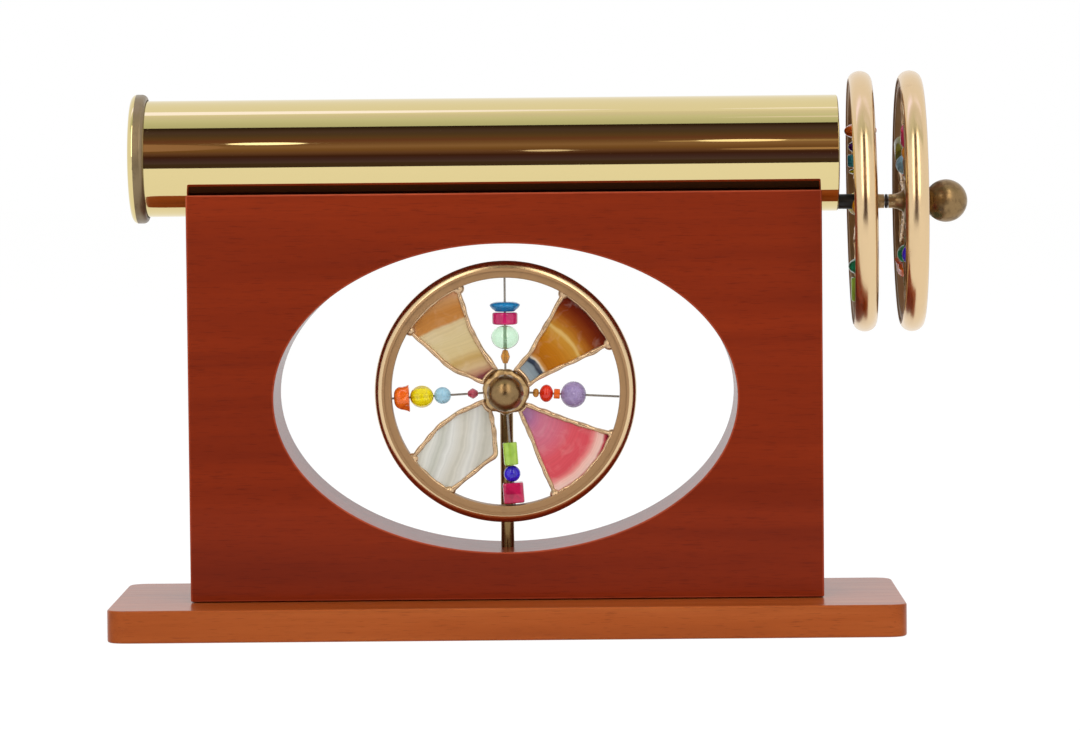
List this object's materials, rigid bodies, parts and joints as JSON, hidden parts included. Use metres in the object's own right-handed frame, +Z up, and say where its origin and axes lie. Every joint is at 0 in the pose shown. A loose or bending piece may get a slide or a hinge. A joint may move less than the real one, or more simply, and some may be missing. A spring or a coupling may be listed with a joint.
{
  "type": "kaleidoscope",
  "caption": "Table-top kaleidoscope: a brass tube on a wooden stand with an oval window, turning wheels of agate slices and glass beads at its end, and a spare wheel on a post in the window.",
  "frame": {"origin": "centre of the base board's underside", "axes": "+Z up, +X along the tube from the eyepiece to the wheels, -Y the front where the spare wheel shows"},
  "size_m": [0.2809, 0.087, 0.1817],
  "materials": {
    "base_wood": "satin oiled mahogany",
    "board_wood": "satin oiled mahogany, darker",
    "collar_wood": "plain turned wood",
    "tube_brass": "polished",
    "rim_brass": "polished, slightly warm",
    "aged_brass": "antique",
    "solder": "coppered solder over copper foil",
    "steel": "plain wire and rod",
    "black_plastic": "matte",
    "mirror": "front-surface mirror",
    "clear_glass": "clear, flat",
    "amber_agate": "polished banded amber slice",
    "cream_agate": "polished cream and tan slice",
    "grey_agate": "polished pale grey slice",
    "pink_agate": "polished pink and red slice",
    "blue_beads": "glass beads, blue and mixed",
    "orange_beads": "glass beads, orange and mixed",
    "crimson_beads": "glass beads, crimson and mixed",
    "violet_beads": "glass beads, violet and mixed"
  },
  "bodies": {
    "stand": {"base_board": "base_wood", "upright_board": "board_wood", "base_screw_left": "steel", "base_screw_right": "steel", "display_post": "aged_brass", "display_axle": "steel", "display_sleeve": "black_plastic", "display_knob": "aged_brass"},
    "scope": {"tube": "tube_brass", "eyepiece_cap": "tube_brass", "eyepiece_lens": "clear_glass", "mirror_bottom": "mirror", "mirror_back": "mirror", "mirror_front": "mirror", "mirror_collar_rear": "collar_wood", "mirror_collar_front": "collar_wood", "object_window": "clear_glass", "window_retainer": "tube_brass", "scope_axle": "steel", "axle_sleeve": "black_plastic", "wheel_spacer": "black_plastic", "axle_knob": "aged_brass"},
    "near_wheel": {"near_wheel_rim": "rim_brass", "near_wheel_hub": "solder", "near_wheel_panel_1": "amber_agate", "near_wheel_panel_2": "cream_agate", "near_wheel_panel_3": "grey_agate", "near_wheel_panel_4": "pink_agate", "near_wheel_spoke_1": "blue_beads", "near_wheel_spoke_2": "orange_beads", "near_wheel_spoke_3": "crimson_beads", "near_wheel_spoke_4": "violet_beads"},
    "far_wheel": {"far_wheel_rim": "rim_brass", "far_wheel_hub": "solder", "far_wheel_panel_1": "amber_agate", "far_wheel_panel_2": "cream_agate", "far_wheel_panel_3": "grey_agate", "far_wheel_panel_4": "pink_agate", "far_wheel_spoke_1": "blue_beads", "far_wheel_spoke_2": "orange_beads", "far_wheel_spoke_3": "crimson_beads", "far_wheel_spoke_4": "violet_beads"},
    "display_wheel": {"display_wheel_rim": "rim_brass", "display_wheel_hub": "solder", "display_wheel_panel_1": "amber_agate", "display_wheel_panel_2": "cream_agate", "display_wheel_panel_3": "grey_agate", "display_wheel_panel_4": "pink_agate", "display_wheel_spoke_1": "blue_beads", "display_wheel_spoke_2": "orange_beads", "display_wheel_spoke_3": "crimson_beads", "display_wheel_spoke_4": "violet_beads"}
  },
  "joints": [
    {"name": "scope_lift", "type": "slide", "parent": "stand", "child": "scope", "axis": [0, 0, 1], "range_m": [0, 0.06]},
    {"name": "near_wheel_spin", "type": "hinge", "parent": "scope", "child": "near_wheel", "pos_m": [0.1174, 0, 0.13895], "axis": [1, 0, 0], "continuous": true},
    {"name": "far_wheel_spin", "type": "hinge", "parent": "scope", "child": "far_wheel", "pos_m": [0.1333, 0, 0.13895], "axis": [1, 0, 0], "continuous": true},
    {"name": "display_wheel_spin", "type": "hinge", "parent": "stand", "child": "display_wheel", "pos_m": [0, -0.014, 0.0783], "axis": [0, 1, 0], "continuous": true}
  ]
}
